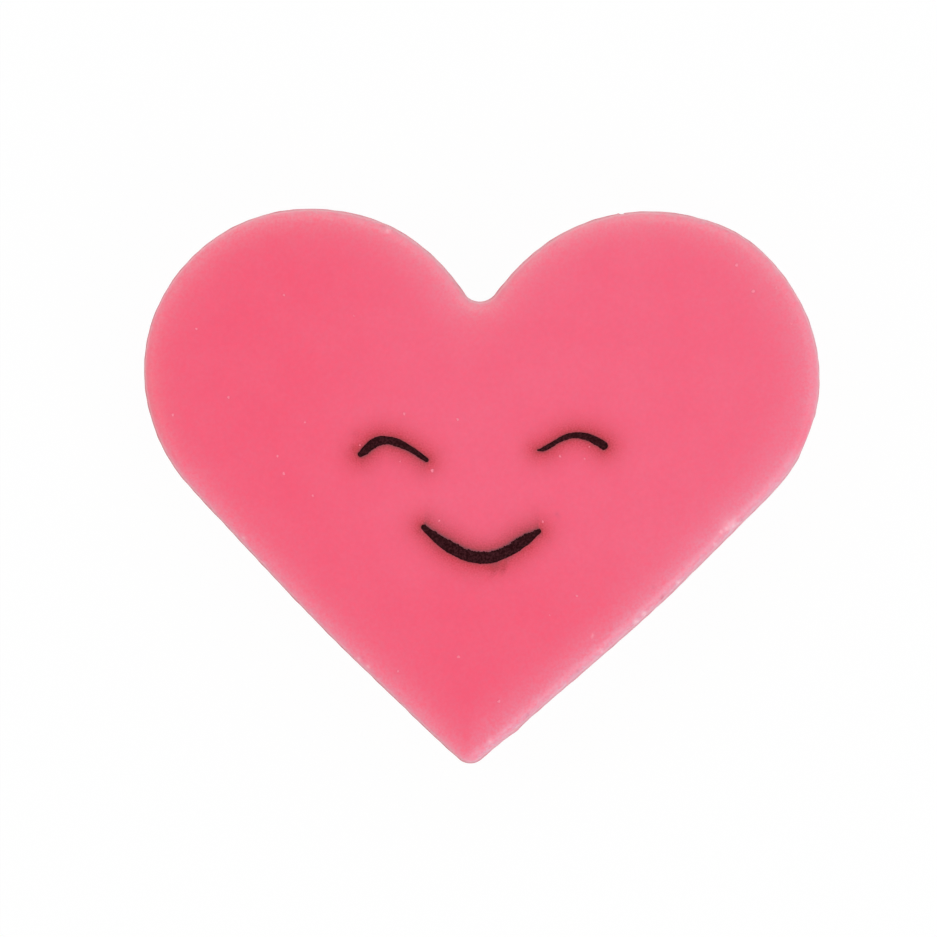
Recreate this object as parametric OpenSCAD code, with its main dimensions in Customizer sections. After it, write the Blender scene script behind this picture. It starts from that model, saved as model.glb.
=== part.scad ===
// A heart-shaped novelty eraser, moulded in one piece and printed with a smiling face.
// It lies on its flat back with the printed face up. The lobes point to +Y and the tip to -Y.
// The origin is on the underside, in the middle of the heart's length and width.

/* [Lobes] */
// Radius of the outer arc of each lobe
lobe_r = 9.8; // [8.5:0.1:11]
// Distance of each lobe's centre from the centre line
lobe_x = 10.2; // [9.4:0.1:12]
// Radius of the flatter shoulder arc that runs from the top of each lobe into the notch
shoulder_r = 10.95; // [9.9:0.05:13]
// Angle up from the outer side of a lobe at which its shoulder arc takes over
shoulder_at = 84; // [70:1:90]
// Radius of the round at the bottom of the notch
notch_r = 1.05; // [0.8:0.05:2]

/* [Tip and flanks] */
// Distance of the rounded tip's centre below the lobes' centres
tip_drop = 21.9; // [19:0.1:26]
// How far the tip leans to the left of the centre line
tip_lean = 0.43; // [0:0.01:1.5]
// Radius of the rounded tip
tip_r = 1.1; // [1:0.05:2.5]
// Radius of the slow outward bow of the two flanks
flank_r = 230; // [120:10:500]

/* [Moulding] */
// Thickness from the back to the printed face
body_t = 8; // [4:0.5:14]
// Radius of the rounded edges round both faces
edge_r = 0.6; // [0.2:0.05:0.7]
// Draft of the side wall above and below the parting line, in degrees
draft = 2; // [0.5:0.5:3]
// Width of the flat where the gate was trimmed off the right lobe
trim_w = 2.65; // [1:0.05:4]
// Angle down from the outer side of the right lobe to the trimmed flat
trim_at = 20.6; // [0:0.2:30]

/* [Printed face] */
// Thickness of the ink film
ink_t = 0.06; // [0.03:0.01:0.2]
// Distance of the face's middle to the right of the centre line
face_x = 0.06; // [-1:0.02:1]
// Distance of the outer end of each eye line from the face's middle
eye_out = 7.165; // [6:0.005:8]
// Length of each eye line from end to end
eye_span = 3.9; // [2.5:0.05:4.5]
// Angle by which the eye lines fall towards the middle
eye_tilt = 4.5; // [0:0.1:12]
// Distance of the left eye line's outer end below the lobes' centres
left_eye_drop = 4.73; // [3:0.01:6]
// Height of the left eye line's arch
left_eye_arch = 0.95; // [0.4:0.01:1.6]
// Distance of the right eye line's outer end below the lobes' centres
right_eye_drop = 4.09; // [3:0.01:6]
// Height of the right eye line's arch
right_eye_arch = 0.74; // [0.4:0.01:1.6]
// Heaviest width of the eye lines
eye_line_w = 0.57; // [0.2:0.01:0.8]
// Length of the smile from end to end
smile_span = 6.78; // [4:0.02:9]
// Depth of the smile below its two ends
smile_depth = 1.68; // [0.8:0.01:3]
// Distance of the smile's left end below the lobes' centres
smile_drop = 9.01; // [8:0.01:11]
// Angle by which the smile falls to the right
smile_tilt = 1.4; // [-5:0.2:5]
// Heaviest width of the smile
smile_line_w = 0.7; // [0.3:0.01:1]

/* [Hidden] */

// Colours of the moulded rubber and of the ink
rubber_pink = "#f4647d";
ink_black = "#2a1418";

// Bends of each brush line: two control points, as shares of its length and of its arch
left_eye_bends = [[0.16, 0.5], [0.23, 1.98]];
right_eye_bends = [[0.53, 2.25], [0.76, -0.1]];
smile_bends = [[0.55, -1.85], [0.72, -0.7]];
// Pressure of the brush at even steps along each line, as shares of its heaviest width
left_eye_pressure = [0.58, 0.85, 0.91, 1, 0.97, 0.8, 0.84, 0.62, 0.46];
right_eye_pressure = [0.86, 0.8, 0.65, 0.58, 0.56, 0.44, 0.53, 0.46, 0.16];
smile_pressure = [0.47, 0.99, 0.99, 1, 1, 0.91, 1, 0.91, 0.36];

// Steps along each arc of the outline, round each edge, along a brush line and round its ends
lobe_steps = 26;
shoulder_steps = 12;
flank_steps = 6;
tip_steps = 8;
notch_steps = 10;
edge_steps = 6;
line_steps = 30;
end_steps = 6;
// Share of a brush line over which its heading is taken
heading_share = 0.001;
// How far the trimming cut reaches past the rubber
overcut = 1;

// Centres of the tip, of the right lobe and of its shoulder arc, which meets the lobe's arc smoothly
tip_c = [-tip_lean, -tip_drop];
lobe_c = [lobe_x, 0];
shoulder_c = lobe_c - (shoulder_r - lobe_r) * [cos(shoulder_at), sin(shoulder_at)];
// Centre of the notch round, which touches both shoulder arcs from outside
notch_c = [0, shoulder_c.y + sqrt(pow(shoulder_r + notch_r, 2) - pow(shoulder_c.x, 2))];
// Direction from the right shoulder's centre to the notch round's centre
notch_dir = atan2(notch_c.y - shoulder_c.y, notch_c.x - shoulder_c.x);
// Distance from the lobes' centres up to the middle of the heart's length, where the origin is
middle_y = (shoulder_c.y + shoulder_r - tip_drop - tip_r) / 2;
// Distance of the trimmed flat from the right lobe's centre
trim_reach = sqrt(pow(lobe_r, 2) - pow(trim_w / 2, 2));

function mirrored(p) = [-p.x, p.y];
function reversed(list) = [for (i = [len(list) - 1:-1:0]) list[i]];

// Points of an arc in even steps, without its last one, where the next arc starts
function arc(c, r, from, to, steps) = [
    for (i = [0:steps - 1])
        let (a = from + (to - from) * i / steps)
        c + r * [cos(a), sin(a)]
];

// Direction from the right flank's far centre to the right lobe, for a tip centred at p
function flank_dir(p) =
    let (
        to_tip = p - lobe_c,
        reach = norm(to_tip),
        lobe_arm = flank_r - lobe_r,
        tip_arm = flank_r - tip_r,
        corner = acos((pow(reach, 2) + pow(lobe_arm, 2) - pow(tip_arm, 2)) / (2 * reach * lobe_arm))
    )
    atan2(to_tip.y, to_tip.x) + 180 - corner;

// Direction from the right flank's far centre to the tip
function tip_dir(p) =
    let (to_tip = p - flank_c(p))
    atan2(to_tip.y, to_tip.x);

// Centre of the right flank's bow, which meets the arcs of the lobe and of the tip smoothly
function flank_c(p) = lobe_c - (flank_r - lobe_r) * [cos(flank_dir(p)), sin(flank_dir(p))];

// Right side of the outline from the tip up to the notch, drawn inside itself by inset.
// An inset only changes the radii, so the arcs still meet smoothly.
function side(p, inset) = concat(
    arc(flank_c(p), flank_r - inset, tip_dir(p), flank_dir(p), flank_steps),
    arc(lobe_c, lobe_r - inset, flank_dir(p), shoulder_at, lobe_steps),
    arc(shoulder_c, shoulder_r - inset, shoulder_at, notch_dir, shoulder_steps),
    [shoulder_c + (shoulder_r - inset) * [cos(notch_dir), sin(notch_dir)]]
);

// Whole outline, counter-clockwise from the right end of the tip
function outline(inset) =
    let (
        right = side(tip_c, inset),
        left = [for (p = reversed(side(mirrored(tip_c), inset))) mirrored(p)],
        notch = arc(notch_c, notch_r + inset, notch_dir - 180, -notch_dir, notch_steps),
        tip = arc(tip_c, tip_r - inset, 180 - tip_dir(mirrored(tip_c)), 360 + tip_dir(tip_c), tip_steps)
    )
    concat(
        right,
        [for (i = [1:notch_steps - 1]) notch[i]],
        left,
        [for (i = [1:tip_steps - 1]) tip[i]]
    );

// Half of the moulding's section, from the back up to the parting line, as [inset, height].
// An arc of edge_r turns the back into a wall that leans out by the draft.
function half_section() =
    let (arc_in = (body_t / 2 - edge_r) * tan(draft) + edge_r / cos(draft))
    concat(
        [
            for (i = [0:edge_steps])
                let (a = -90 + (90 - draft) * i / edge_steps)
                [arc_in - edge_r * cos(a), edge_r + edge_r * sin(a)]
        ],
        [[0, body_t / 2]]
    );

// Point of a brush line at the share t of its way, from [0, 0] to [span, 0]
function on_line(t, span, arch, bends) =
    let (
        a = [bends[0].x * span, bends[0].y * arch],
        b = [bends[1].x * span, bends[1].y * arch]
    )
    3 * pow(1 - t, 2) * t * a + 3 * (1 - t) * pow(t, 2) * b + pow(t, 3) * [span, 0];

// Width of a brush line at the share t of its way
function width_at(t, widest, pressure) =
    let (last = len(pressure) - 1)
    widest * lookup(t * last, [for (i = [0:last]) [i, pressure[i]]]);

// The moulding: its section carried round the outline, and closed by the two flat faces
module moulding() {
    lower = half_section();
    upper = [for (s = reversed(lower)) [s.x, body_t - s.y]];
    section = concat(lower, [for (i = [1:len(upper) - 1]) upper[i]]);
    rings = [for (s = section) [for (p = outline(s.x)) [p.x, p.y, s.y]]];
    n = len(rings[0]);
    top = len(rings) - 1;
    back_c = n * len(rings);
    face_c = back_c + 1;
    polyhedron(
        points = concat([for (r = rings) each r], [[0, 0, 0], [0, 0, body_t]]),
        faces = concat(
            [for (i = [0:n - 1]) [back_c, i, (i + 1) % n]],
            [
                for (k = [0:top - 1], i = [0:n - 1])
                    let (j = (i + 1) % n)
                    [k * n + i, (k + 1) * n + i, (k + 1) * n + j, k * n + j]
            ],
            [for (i = [0:n - 1]) [face_c, top * n + (i + 1) % n, top * n + i]]
        )
    );
}

// What the trimming knife took off the right lobe, down to the flat
module trimmed_gate() {
    translate([lobe_x, 0, 0])
    rotate([0, 0, -trim_at])
    translate([trim_reach, -trim_w, -overcut])
    cube([overcut, 2 * trim_w, body_t + 2 * overcut]);
}

// One printed line, from its outer end at the origin along +X: a curved centre line with the
// width of the brush on either side of it, and a round end at both ends
module brush_line(span, arch, bends, widest, pressure) {
    centre = [for (i = [0:line_steps]) on_line(i / line_steps, span, arch, bends)];
    heading = [
        for (i = [0:line_steps])
            let (
                before = on_line(max(i / line_steps - heading_share, 0), span, arch, bends),
                after = on_line(min(i / line_steps + heading_share, 1), span, arch, bends)
            )
            atan2(after.y - before.y, after.x - before.x)
    ];
    half = [for (i = [0:line_steps]) width_at(i / line_steps, widest, pressure) / 2];
    left_side = [for (i = [0:line_steps]) centre[i] + half[i] * [-sin(heading[i]), cos(heading[i])]];
    right_side = [for (i = [0:line_steps]) centre[i] - half[i] * [-sin(heading[i]), cos(heading[i])]];
    end = line_steps;
    far = arc(centre[end], half[end], heading[end] - 90, heading[end] + 90, 2 * end_steps);
    near = arc(centre[0], half[0], heading[0] + 90, heading[0] + 270, 2 * end_steps);
    linear_extrude(height = ink_t)
    polygon(concat(
        right_side,
        [for (i = [1:len(far) - 1]) far[i]],
        reversed(left_side),
        [for (i = [1:len(near) - 1]) near[i]]
    ));
}

module eraser_body() {
    color(rubber_pink)
    translate([0, -middle_y, 0])
    difference() {
        moulding();
        trimmed_gate();
    }
}

module left_eye_line() {
    color(ink_black)
    translate([face_x - eye_out, -left_eye_drop - middle_y, body_t])
    rotate([0, 0, -eye_tilt])
    brush_line(eye_span, left_eye_arch, left_eye_bends, eye_line_w, left_eye_pressure);
}

module right_eye_line() {
    color(ink_black)
    translate([face_x + eye_out, -right_eye_drop - middle_y, body_t])
    mirror([1, 0, 0])
    rotate([0, 0, -eye_tilt])
    brush_line(eye_span, right_eye_arch, right_eye_bends, eye_line_w, right_eye_pressure);
}

module smile_line() {
    color(ink_black)
    translate([face_x - smile_span / 2, -smile_drop - middle_y, body_t])
    rotate([0, 0, -smile_tilt])
    brush_line(smile_span, smile_depth, smile_bends, smile_line_w, smile_pressure);
}

eraser_body();
left_eye_line();
right_eye_line();
smile_line();
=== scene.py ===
"""A heart-shaped rubber eraser: the moulded rubber, its printed face, the crumbs on it and a small studio.

The file is laid out as an add-on and is run as a script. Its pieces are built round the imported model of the
eraser, which gives the thickness of the rubber and of the ink. Everything is in metres, with the printed face
up, the lobes to +Y, the tip to -Y, and the origin under the middle of the heart."""

from math import acos, atan2, hypot, pi, radians, sqrt, tan

import bpy
import numpy as np
from bpy.props import FloatProperty, FloatVectorProperty, PointerProperty
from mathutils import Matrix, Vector


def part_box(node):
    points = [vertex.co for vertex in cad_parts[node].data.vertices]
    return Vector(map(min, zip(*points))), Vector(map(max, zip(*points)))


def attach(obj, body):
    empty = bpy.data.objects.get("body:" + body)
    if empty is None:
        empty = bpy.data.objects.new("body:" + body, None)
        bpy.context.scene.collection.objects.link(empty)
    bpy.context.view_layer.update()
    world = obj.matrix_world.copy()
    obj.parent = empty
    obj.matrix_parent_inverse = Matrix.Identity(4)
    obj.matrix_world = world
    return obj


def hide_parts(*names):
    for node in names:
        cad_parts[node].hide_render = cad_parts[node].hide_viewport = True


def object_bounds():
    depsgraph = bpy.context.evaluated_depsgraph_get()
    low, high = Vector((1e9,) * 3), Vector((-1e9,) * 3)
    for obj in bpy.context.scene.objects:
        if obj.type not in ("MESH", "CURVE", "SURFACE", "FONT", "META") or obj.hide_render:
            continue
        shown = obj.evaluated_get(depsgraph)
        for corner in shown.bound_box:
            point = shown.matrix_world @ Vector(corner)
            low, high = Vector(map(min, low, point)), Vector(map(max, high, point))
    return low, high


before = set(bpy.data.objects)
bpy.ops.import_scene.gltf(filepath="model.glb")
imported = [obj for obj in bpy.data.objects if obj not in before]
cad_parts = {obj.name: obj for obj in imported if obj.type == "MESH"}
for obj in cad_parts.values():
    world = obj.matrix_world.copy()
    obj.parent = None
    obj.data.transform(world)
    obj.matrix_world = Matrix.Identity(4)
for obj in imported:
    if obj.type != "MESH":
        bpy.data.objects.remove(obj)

bl_info = {
    "name": "Heart Eraser",
    "version": (1, 0, 0),
    "blender": (4, 5, 0),
    "location": "View3D > Sidebar > Heart Eraser",
    "description": "Moulds a heart-shaped rubber eraser, prints a smiling face on it and sets up a studio",
    "category": "Object",
}

MM = 0.001
CAD_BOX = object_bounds()
BODY_LOW, BODY_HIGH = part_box("eraser_body")
INK_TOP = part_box("smile_line")[1].z
THICKNESS = BODY_HIGH.z - BODY_LOW.z

# Mesh steps: columns round the outline, steps over each rounded edge, down each half wall and across the
# back, and the power by which the wall's steps crowd towards the rounded edges
COLUMNS = 1024
EDGE_STEPS = 8
WALL_STEPS = 6
BACK_STEPS = 18
WALL_CROWDING = 1.3
# Shares of the outline's size that the face's rings have on their way inwards: close together beside the
# edge, wider apart, and close again round the printed lines
FACE_SHARES = np.concatenate([
    np.arange(0.988, 0.86, -0.011),
    np.arange(0.845, 0.45, -0.022),
    np.arange(0.44, 0.01, -0.0068),
])
# The closest spacing of columns that a face keeps as its rings close in, and the fewest columns of a ring
BACK_SPACING = 0.13 * MM
FACE_SPACING = 0.075 * MM
FEWEST_COLUMNS = 64
# Points along each printed line, in each of its round ends, round its section, and in the stretch over which
# its width is blended
LINE_POINTS = 191
LINE_END_POINTS = 6
LINE_LOOP_POINTS = 20
LINE_BLEND_POINTS = 21
# The point that both faces close in on, below the lobes' centres, from which the whole outline can be seen
FACE_MIDDLE = np.array([0.0, -4.4 * MM])

# The moulding is not quite even: swells and hollows of the outline, as distance along it, counter-clockwise
# from the right end of the tip, spread and height
SWELLS = np.array([
    (0.3, 1.1, -0.067),
    (4.7, 4.1, -0.084),
    (14.2, 3.2, 0.06),
    (38.8, 6.0, -0.1),
    (40.6, 2.5, 0.129),
    (51.8, 4.6, 0.08),
    (58.0, 1.1, 0.105),
    (63.0, 9.1, -0.067),
    (65.8, 2.0, 0.054),
    (83.5, 3.5, 0.054),
    (93.5, 2.9, 0.054),
    (93.7, 8.9, -0.112),
    (110.2, 2.9, -0.038),
]) * MM
# Marks left on the thin flash of the parting line, in millimetres: x, y, width and height
FLASH_MARKS = np.array([
    (7.99, 16.31, 0.07, 0.12),
    (8.2, 16.22, 0.1, -0.13),
    (2.3, -14.4, 0.35, 0.06),
    (1.5, -15.1, 0.3, -0.03),
])
# The flash's height up and down from the parting line, how far its marks reach up and down, and how uneven
# its edge is: as a share of its width, the numbers of waves round the outline, and the seed of their phases
FLASH_HEIGHT = 0.06 * MM
FLASH_MARK_REACH = 0.5 * MM
FLASH_UNEVENNESS = 0.3
FLASH_WAVES = (31, 47, 83, 121)
FLASH_SEED = 5
# How far the notch's lean and its paler wall reach from the middle of its round, and the share of the wall's
# painted shade that is left out there
NOTCH_REACH = 3.2 * MM
NOTCH_SHADE_CUT = 0.5
# The depths below a face, in radii of its rounded edge, at which something starts and is full: the painted
# shade on the way down the wall, and the marks and the ink on the way up to the printed face
WALL_SHADE_SETS_IN = (0.7, 1.3)
MARKS_SET_IN = (1.4, 0.4)

# How the edge looks by the way that it faces the lamps, as waves round the compass: number of turns, phase in
# degrees and strength. In turn: the milky share of painted light where light leaks out, the millimetres in
# which that fades inwards, how warm the painted light and shade are, and the share of painted shade on the
# wall
EDGE_LEAK = ((0, 0, 0.64), (1, -40, 0.18), (2, -82, 0.19), (3, 35, 0.037))
EDGE_FADE = ((0, 0, 0.86), (1, 0, 0.1), (2, 0, 0.12))
EDGE_LIGHT_WARMTH = ((0, 0, 0.3), (1, 110, 0.3))
WALL_SHADE = ((0, 0, 0.72), (1, 25, -0.25))
# Bells added to the painted leak light at the tip and to the warmth of the painted light at the left: middle
# and spread in degrees, and height
TIP_LEAK = (278, 40, -0.09)
LEFT_LIGHT_WARMTH = (188, 25, 0.5)
# Share of the painted leak light that the trimmed flat takes away, and half the width in which both flanks'
# painted leak light blends
TRIM_SHADE = 0.45
FLANK_BLEND = 0.5 * MM

# Scuffs on the rounded edge that show whitish from above: x, y, radius in millimetres, and strength
EDGE_SCUFFS = np.array([
    (14.82, -2.22, 0.5, 0.3),
    (14.91, -2.17, 0.15, 0.62),
    (14.55, -2.32, 0.12, 0.6),
    (14.17, -2.53, 0.1, 0.5),
    (13.81, -3.22, 0.1, 0.42),
    (13.63, -4.23, 0.12, 0.3),
    (11.73, -5.55, 0.12, 0.95),
    (9.7, -7.41, 0.12, 0.85),
    (9.29, -7.91, 0.15, 1.0),
    (7.17, -9.61, 0.12, 0.4),
    (6.64, -8.69, 0.09, 0.36),
    (-7.08, -10.22, 0.1, 0.4),
    (-6.53, -10.65, 0.1, 0.5),
    (-5.6, 15.04, 0.11, 0.6),
    (0.7, -14.95, 0.12, 0.3),
    (-13.95, -3.13, 0.09, 0.3),
])
# Small specks along the edge, and one on the face, painted darker, in rows like those of the scuffs
DARK_SPECKS = np.array([
    (10.75, -6.42, 0.1, 0.9),
    (15.38, -1.79, 0.09, 0.6),
    (2.89, -13.44, 0.1, 0.7),
    (5.82, -10.81, 0.09, 0.6),
    (-5.9, 15.35, 0.11, 0.5),
    (10.21, -5.8, 0.09, 0.4),
    (4.23, 14.32, 0.09, 0.3),
    (-8.63, 15.98, 0.09, 0.3),
    (-6.91, -10.1, 0.09, 0.4),
    (4.53, -1.6, 0.13, 0.75),
])

# Crumbs of rubber and dust that lie on the printed face: x, y and radius in millimetres
CRUMBS = np.array([
    (-2.87, 0.94, 0.10),
    (-2.43, -2.01, 0.06),
    (-11.62, 0.68, 0.09),
    (1.18, -12.63, 0.09),
    (-1.22, -10.02, 0.09),
    (-4.77, 1.46, 0.05),
    (-4.55, 4.27, 0.09),
    (3.67, -2.01, 0.07),
    (5.72, -6.37, 0.07),
    (-9.9, -0.6, 0.07),
    (-16.85, 9.16, 0.07),
    (-11.7, 11.2, 0.08),
    (-14.92, 5.14, 0.08),
    (-1.4, 3.97, 0.08),
    (-10.4, 3.72, 0.07),
    (15.95, 11.69, 0.11),
    (14.95, 13.22, 0.1),
    (-7.57, 10.01, 0.05),
    (4.13, -7.51, 0.05),
    (4.65, 1.85, 0.08),
    (-7.15, 2.4, 0.055),
    (6.37, 2.43, 0.045),
    (-12.0, 1.71, 0.07),
    (6.1, 1.72, 0.065),
    (17.3, 11.9, 0.09),
    (18.2, 9.79, 0.09),
    (-18.19, 4.08, 0.08),
    (-4.78, -10.91, 0.08),
])
# The crumbs: height as a share of the ink's, how far the base wanders off round as a share of its radius, in
# which numbers of waves and from which first seed, points round it, and the rings' shares of its radius
CRUMB_HEIGHT = 0.6
CRUMB_LUMPINESS = 0.2
CRUMB_WAVES = (2, 3)
CRUMB_SEED = 50
CRUMB_POINTS = 10
CRUMB_RINGS = (1, 0.8, 0.45)
# Faint smudges of ink in the rubber beside the lines: x, y and radius in millimetres, and strength
INK_SMUDGES = np.array([
    (0.86, -4.6, 0.25, 0.75),
    (1.27, -4.7, 0.25, 0.7),
    (0.6, -4.68, 0.3, 0.2),
    (-7.5, 2.26, 0.2, 0.25),
    (-7.4, 3.1, 0.3, 0.12),
])

# Ink beside the lines. Over the first distance the rubber is darkened by painted shade, where the ink keeps
# light out of the translucent rubber, and by ink that has bled into it. It has taken up ink in shares that
# fade over the second and the third distance, in millimetres
INK_SHADE_REACH, INK_CLOSE_REACH, INK_WIDE_REACH = 0.66, 0.1, 0.5
# How flat the darkening, painted shade and bled ink, stays before it falls, as the power of the distance
INK_SHADE_FLATNESS = 1.3
# The share of a smudge's strength that is ink taken up
INK_SMUDGE_SHARE = 0.3
# The share taken up close to a line, on the side that it curls round and on its other side
INK_CLOSE = (0.5, 0.35)
# The share taken up further off, on the side that the left eye, the right eye and the smile curl round
INK_WIDE = (0.12, 0.0, 0.27)

# Bends of each brush line: two control points, as shares of its length and of its arch
LEFT_EYE_BENDS = ((0.16, 0.5), (0.23, 1.98))
RIGHT_EYE_BENDS = ((0.53, 2.25), (0.76, -0.1))
SMILE_BENDS = ((0.55, -1.85), (0.72, -0.7))
# How far the edges of each line wander, in millimetres: on the side that it curls round and on its other side
LEFT_EYE_WANDER = (0.018, 0.01)
RIGHT_EYE_WANDER = (0.018, 0.01)
SMILE_WANDER = (0.036, 0.013)
# The numbers of waves in which they wander along a line, and the step from one line's seed to the next one's
INK_WAVES = (5, 9, 14, 23, 37, 53)
INK_SEED_STEP = 10
# The film of ink is a flattened dome: the power of the sine that gives its height, and the half width from
# which it has its full height
INK_DOME_POWER = 0.4
INK_FULL_WIDTH = 0.1 * MM
# Pressure of the brush at even steps along each line, as shares of its heaviest width
LEFT_EYE_PRESSURE = (0.58, 0.85, 0.91, 1, 0.97, 0.8, 0.84, 0.62, 0.46)
RIGHT_EYE_PRESSURE = (0.86, 0.8, 0.65, 0.58, 0.56, 0.44, 0.53, 0.46, 0.16)
SMILE_PRESSURE = (0.47, 0.99, 0.99, 1, 1, 0.91, 1, 0.91, 0.36)


def linear(code):
    """Linear colour of an sRGB hex code, by the sRGB transfer curve."""
    c = np.array([int(code[i : i + 2], 16) for i in (1, 3, 5)]) / 255
    return tuple(np.where(c <= 0.04045, c / 12.92, ((c + 0.055) / 1.055) ** 2.4))


def rgba(colour):
    """The colour, fully opaque."""
    return (*colour, 1.0)


class HeartSizes(bpy.types.PropertyGroup):
    """Sizes of the moulded heart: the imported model's, with the flash and the notch's lean added."""

    lobe_r: FloatProperty(
        name="Lobe Radius", default=9.8 * MM, unit="LENGTH", precision=5,
        description="Radius of the outer arc of each lobe",
    )
    lobe_x: FloatProperty(
        name="Lobe Distance", default=10.2 * MM, unit="LENGTH", precision=5,
        description="Distance of each lobe's centre from the centre line",
    )
    shoulder_r: FloatProperty(
        name="Shoulder Radius", default=10.95 * MM, unit="LENGTH", precision=5,
        description="Radius of the flatter arc from the top of each lobe into the notch",
    )
    shoulder_at: FloatProperty(
        name="Shoulder Start", default=radians(84), subtype="ANGLE",
        description="Angle up from the outer side of a lobe at which its shoulder arc takes over",
    )
    notch_r: FloatProperty(
        name="Notch Radius", default=1.05 * MM, unit="LENGTH", precision=5,
        description="Radius of the round at the bottom of the notch",
    )
    notch_lean: FloatProperty(
        name="Notch Lean", default=0.125 * MM, unit="LENGTH", precision=5,
        description="How far the notch leans to the left of the centre line",
    )
    tip_drop: FloatProperty(
        name="Tip Drop", default=21.9 * MM, unit="LENGTH", precision=5,
        description="Distance of the rounded tip's centre below the lobes' centres",
    )
    tip_lean: FloatProperty(
        name="Tip Lean", default=0.43 * MM, unit="LENGTH", precision=5,
        description="How far the tip leans to the left of the centre line",
    )
    tip_r: FloatProperty(
        name="Tip Radius", default=1.1 * MM, unit="LENGTH", precision=5,
        description="Radius of the rounded tip",
    )
    flank_r: FloatProperty(
        name="Flank Radius", default=230 * MM, unit="LENGTH", precision=5,
        description="Radius of the slow outward bow of the two flanks",
    )
    edge_r: FloatProperty(
        name="Edge Radius", default=0.6 * MM, unit="LENGTH", precision=5,
        description="Radius of the rounded edges round both faces",
    )
    draft: FloatProperty(
        name="Draft", default=radians(2), subtype="ANGLE",
        description="Lean of the side wall above and below the parting line",
    )
    flash: FloatProperty(
        name="Flash", default=0.03 * MM, unit="LENGTH", precision=5,
        description="How far the thin flash of the parting line stands out of the wall",
    )
    trim_w: FloatProperty(
        name="Trim Width", default=2.65 * MM, unit="LENGTH", precision=5,
        description="Width of the flat where the gate was trimmed off the right lobe",
    )
    trim_at: FloatProperty(
        name="Trim Direction", default=radians(20.6), subtype="ANGLE",
        description="Angle down from the outer side of the right lobe to the trimmed flat",
    )


class FaceSizes(bpy.types.PropertyGroup):
    """Sizes and places of the printed lines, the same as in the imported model."""

    face_x: FloatProperty(
        name="Face Offset", default=0.06 * MM, unit="LENGTH", precision=5,
        description="Distance of the face's middle to the right of the centre line",
    )
    eye_out: FloatProperty(
        name="Eye Distance", default=7.165 * MM, unit="LENGTH", precision=5,
        description="Distance of the outer end of each eye line from the face's middle",
    )
    eye_span: FloatProperty(
        name="Eye Length", default=3.9 * MM, unit="LENGTH", precision=5,
        description="Length of each eye line from end to end",
    )
    eye_tilt: FloatProperty(
        name="Eye Tilt", default=radians(4.5), subtype="ANGLE",
        description="Angle by which the eye lines fall towards the middle",
    )
    left_eye_drop: FloatProperty(
        name="Left Eye Drop", default=4.73 * MM, unit="LENGTH", precision=5,
        description="Distance of the left eye line's outer end below the lobes' centres",
    )
    left_eye_arch: FloatProperty(
        name="Left Eye Arch", default=0.95 * MM, unit="LENGTH", precision=5,
        description="Height of the left eye line's arch",
    )
    right_eye_drop: FloatProperty(
        name="Right Eye Drop", default=4.09 * MM, unit="LENGTH", precision=5,
        description="Distance of the right eye line's outer end below the lobes' centres",
    )
    right_eye_arch: FloatProperty(
        name="Right Eye Arch", default=0.74 * MM, unit="LENGTH", precision=5,
        description="Height of the right eye line's arch",
    )
    eye_line_w: FloatProperty(
        name="Eye Line Width", default=0.57 * MM, unit="LENGTH", precision=5,
        description="Heaviest width of the eye lines",
    )
    smile_span: FloatProperty(
        name="Smile Length", default=6.78 * MM, unit="LENGTH", precision=5,
        description="Length of the smile from end to end",
    )
    smile_depth: FloatProperty(
        name="Smile Depth", default=1.68 * MM, unit="LENGTH", precision=5,
        description="Depth of the smile below its two ends",
    )
    smile_drop: FloatProperty(
        name="Smile Drop", default=9.01 * MM, unit="LENGTH", precision=5,
        description="Distance of the smile's left end below the lobes' centres",
    )
    smile_tilt: FloatProperty(
        name="Smile Tilt", default=radians(1.4), subtype="ANGLE",
        description="Angle by which the smile falls to the right",
    )
    smile_line_w: FloatProperty(
        name="Smile Line Width", default=0.7 * MM, unit="LENGTH", precision=5,
        description="Heaviest width of the smile",
    )


class Finish(bpy.types.PropertyGroup):
    """Colours of the rubber, the light and shade painted on its edges and walls, its scuffs and the ink."""

    rubber_left: FloatVectorProperty(
        name="Rubber, Left", default=linear("#f25576"), subtype="COLOR", size=3,
        description="Deep pink of the rubber on the left lobe",
    )
    rubber_right: FloatVectorProperty(
        name="Rubber, Right", default=linear("#f25e7e"), subtype="COLOR", size=3,
        description="Deep pink of the rubber on the right lobe, a little paler",
    )
    # Milky pink painted on the rounded edges as the light that leaks out of the rubber; the clouds in the mix
    # lean to it too
    rubber_edge: FloatVectorProperty(
        name="Rubber Edge", default=linear("#eaa8bd"), subtype="COLOR", size=3,
        description="Milky pink of the rounded edges, where light leaks out of the rubber",
    )
    # Painted shade: the dull pink of the side walls
    wall_shade_colour: FloatVectorProperty(
        name="Rubber Wall", default=linear("#d67283"), subtype="COLOR", size=3,
        description="Dull pink of the side walls",
    )
    scuff: FloatVectorProperty(
        name="Scuff", default=linear("#fde2ea"), subtype="COLOR", size=3,
        description="Whitish pink of scuffed rubber",
    )
    ink: FloatVectorProperty(
        name="Ink", default=linear("#240408"), subtype="COLOR", size=3,
        description="Reddish black of the printed lines",
    )


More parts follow.
